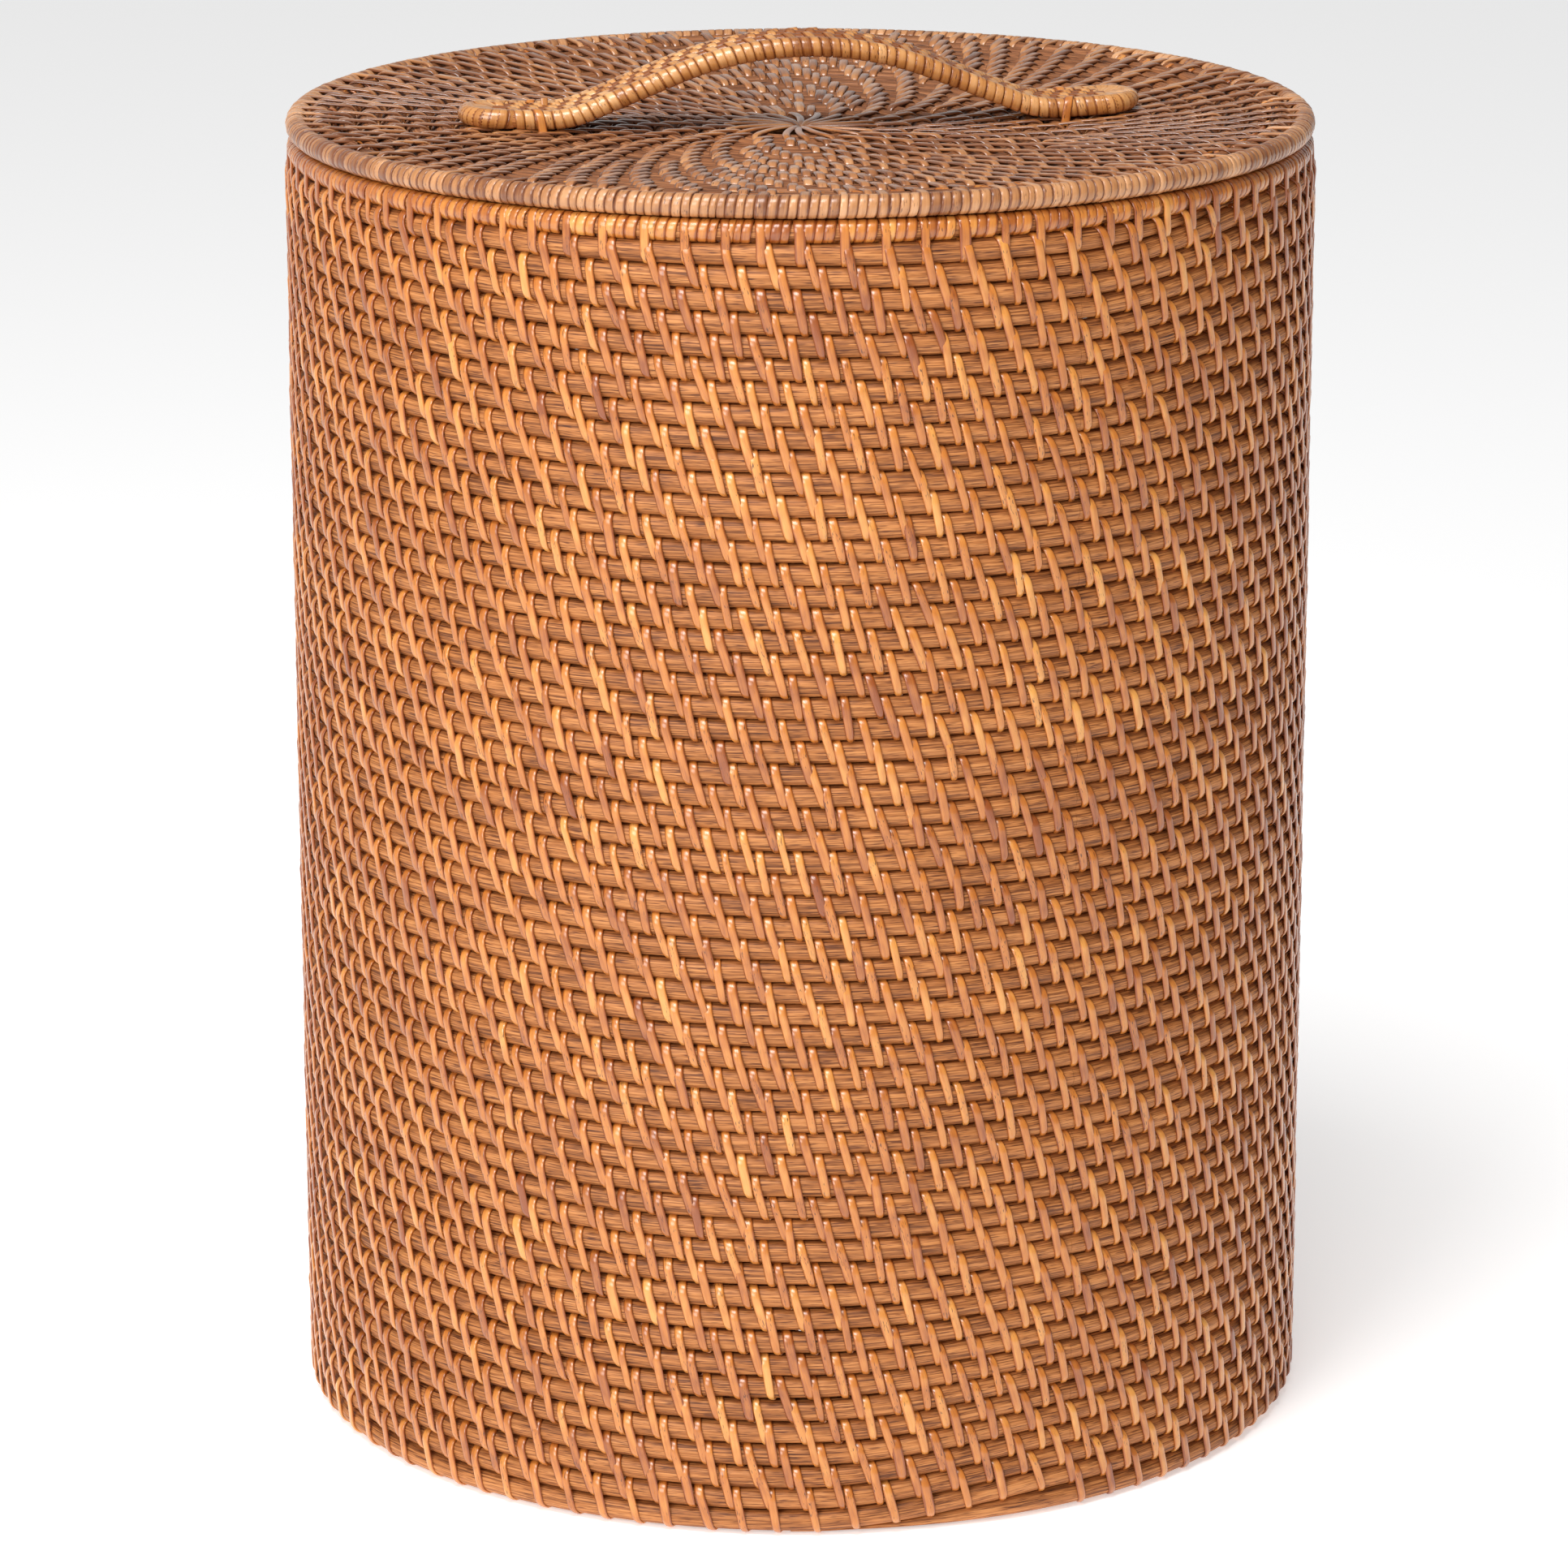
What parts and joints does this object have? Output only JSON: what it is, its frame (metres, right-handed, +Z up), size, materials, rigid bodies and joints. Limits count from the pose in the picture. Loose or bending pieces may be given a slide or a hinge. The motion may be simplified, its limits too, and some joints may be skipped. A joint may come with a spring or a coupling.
{
  "type": "laundry basket",
  "caption": "Round coiled-rattan laundry basket with a dished lift-off lid and a woven strap handle.",
  "frame": {"origin": "middle of the flat foot, on the floor", "axes": "+Z up along the basket's axis; +X along the strap handle"},
  "size_m": [0.444, 0.444, 0.605],
  "materials": {
    "rattan_core": "peeled rattan core rod, matt, fine lengthwise grain",
    "rattan_peel": "split rattan peel, amber, satin with glints",
    "rattan_peel_pale": "split rattan peel, honey, smooth and glossier"
  },
  "bodies": {
    "basket": {"base_start": "rattan_core", "base_coil": "rattan_core", "base_sewing": "rattan_peel", "base_star": "rattan_peel", "wall_coil": "rattan_core", "wall_sewing": "rattan_peel", "rim_rod": "rattan_core", "rim_wrap": "rattan_peel_pale"},
    "lid": {"lid_start": "rattan_core", "lid_coil": "rattan_core", "lid_sewing": "rattan_peel", "lid_star": "rattan_peel", "lid_rim_rod": "rattan_core", "lid_rim_wrap": "rattan_peel_pale", "lid_ring_rod": "rattan_core", "lid_ring_wrap": "rattan_peel", "handle_frame": "rattan_core", "handle_rod_front": "rattan_core", "handle_rod_middle": "rattan_core", "handle_rod_back": "rattan_core", "handle_weave": "rattan_peel_pale", "handle_end_wraps": "rattan_peel_pale", "handle_tie_left": "rattan_peel", "handle_tie_right": "rattan_peel"}
  },
  "joints": [
    {"name": "lid_lift", "type": "slide", "parent": "basket", "child": "lid", "axis": [0, 0, 1], "range_m": [0, 0.3]}
  ]
}
